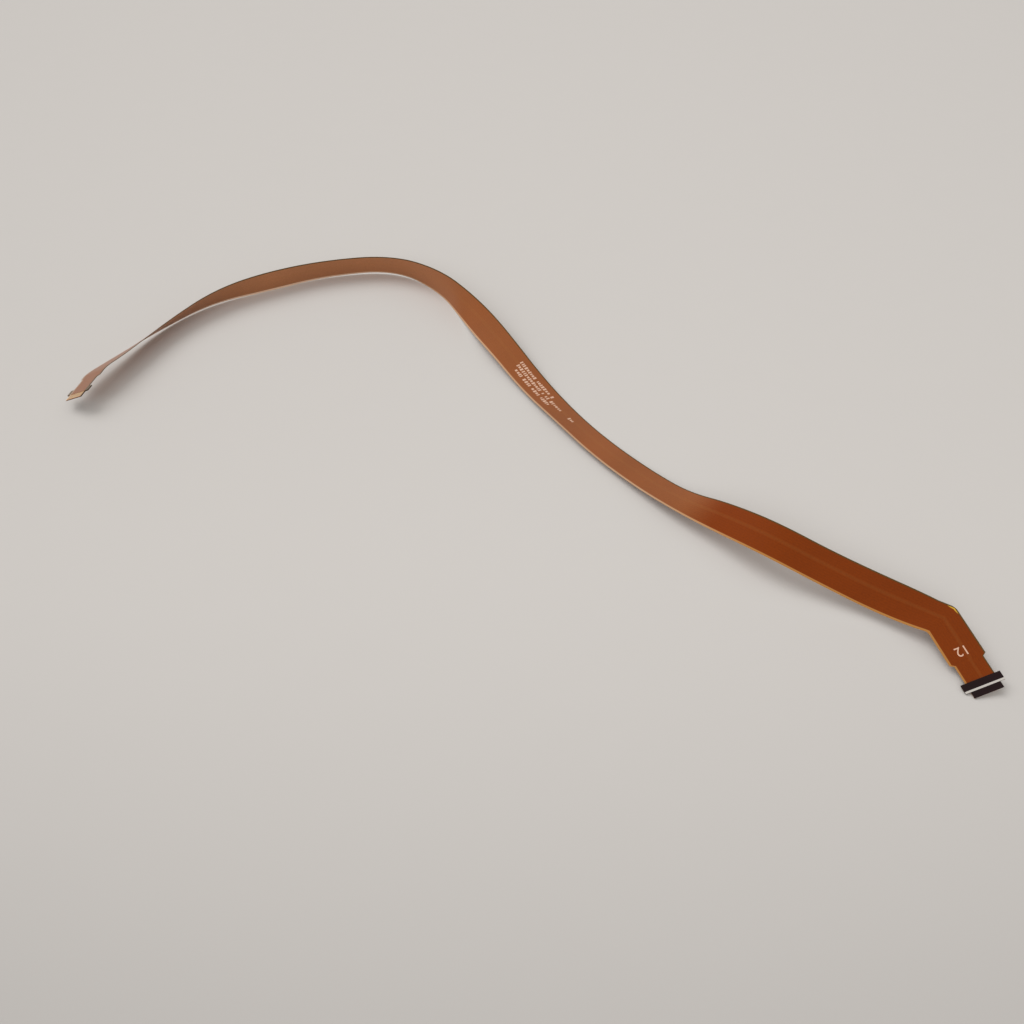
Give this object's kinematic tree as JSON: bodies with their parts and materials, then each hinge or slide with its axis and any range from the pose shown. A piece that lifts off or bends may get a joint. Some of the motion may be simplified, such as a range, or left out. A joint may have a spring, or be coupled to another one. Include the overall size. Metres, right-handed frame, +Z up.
{
  "type": "flat flex cable",
  "caption": "Loose flat flexible printed camera cable: an amber film strip with copper tracks, a bend in its outline near one end and a plug-in tail with ears at each end.",
  "frame": {"origin": "on the surface that the cable lies on, below the middle of its bounding box", "axes": "+X from the board end of the cable to its camera end, +Z up, -Y towards the picture's viewer"},
  "size_m": [0.2209, 0.1718, 0.0105],
  "materials": {
    "amber_film": "satin amber polyimide film",
    "copper": "rolled copper foil, gold plated at the contacts",
    "stiffener": "matte dark brown"
  },
  "bodies": {
    "root": {"back_film": "amber_film", "front_film": "amber_film", "track_01": "copper", "track_02": "copper", "track_03": "copper", "track_04": "copper", "track_05": "copper", "track_06": "copper", "track_07": "copper", "track_08": "copper", "track_09": "copper", "track_10": "copper", "track_11": "copper", "track_12": "copper", "camera_end_stiffener": "stiffener", "board_end_stiffener": "stiffener"}
  },
  "joints": []
}
